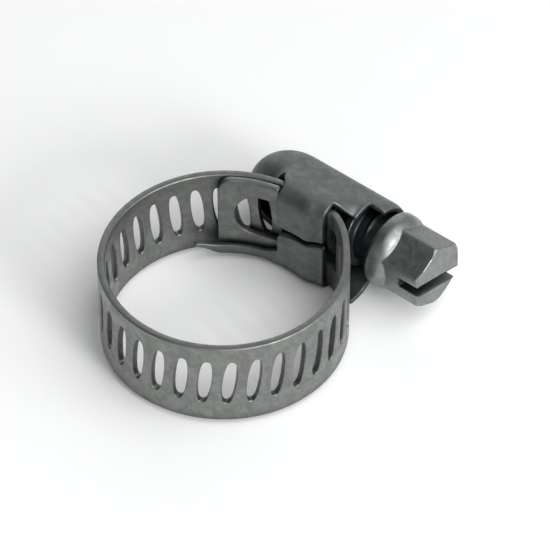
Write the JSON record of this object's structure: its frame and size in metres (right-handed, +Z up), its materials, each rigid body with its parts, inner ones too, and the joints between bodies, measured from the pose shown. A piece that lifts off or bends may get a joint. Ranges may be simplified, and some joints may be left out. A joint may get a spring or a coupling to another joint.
{
  "type": "hose clamp",
  "caption": "Small stainless worm-drive hose clamp: a perforated strip looped through a formed housing with a slotted hex-head screw.",
  "frame": {"origin": "middle of the underside of the clamp's overall box", "axes": "+X along the screw towards its head, +Y from the loop's centre towards the housing, +Z up across the strip's width"},
  "size_m": [0.022, 0.0258, 0.0091],
  "materials": {
    "strip_steel": "dull satin, softly mottled",
    "housing_steel": "dull satin, darker in the folds",
    "screw_steel": "satin with brighter worn edges"
  },
  "bodies": {
    "housing": {"housing": "housing_steel", "strip_fixed_end": "strip_steel"},
    "screw": {"screw": "screw_steel"},
    "right_stretch": {"strip_right_stretch": "strip_steel"},
    "left_stretch": {"strip_left_stretch": "strip_steel"},
    "free_end": {"strip_free_end": "strip_steel"}
  },
  "joints": [
    {"name": "screw_turn", "type": "hinge", "parent": "housing", "child": "screw", "pos_m": [0, 0.00953, 0.00453], "axis": [-1, 0, 0], "range_deg": [0, 360]},
    {"name": "right_bend", "type": "hinge", "parent": "housing", "child": "right_stretch", "pos_m": [0.00777, 0.00137, 0.00453], "axis": [0, 0, -1], "range_deg": [0, 3.8]},
    {"name": "front_bend", "type": "hinge", "parent": "right_stretch", "child": "left_stretch", "pos_m": [-0.00042, -0.01256, 0.00453], "axis": [0, 0, -1], "range_deg": [0, 3.8]},
    {"name": "left_bend", "type": "hinge", "parent": "left_stretch", "child": "free_end", "pos_m": [-0.00927, 0.00212, 0.00453], "axis": [0, 0, -1], "range_deg": [0, 4.2]}
  ],
  "couplings": [
    {"joint": "right_bend", "follows": "screw_turn", "ratio": 0.010028},
    {"joint": "front_bend", "follows": "screw_turn", "ratio": 0.010148},
    {"joint": "left_bend", "follows": "screw_turn", "ratio": 0.011163}
  ]
}
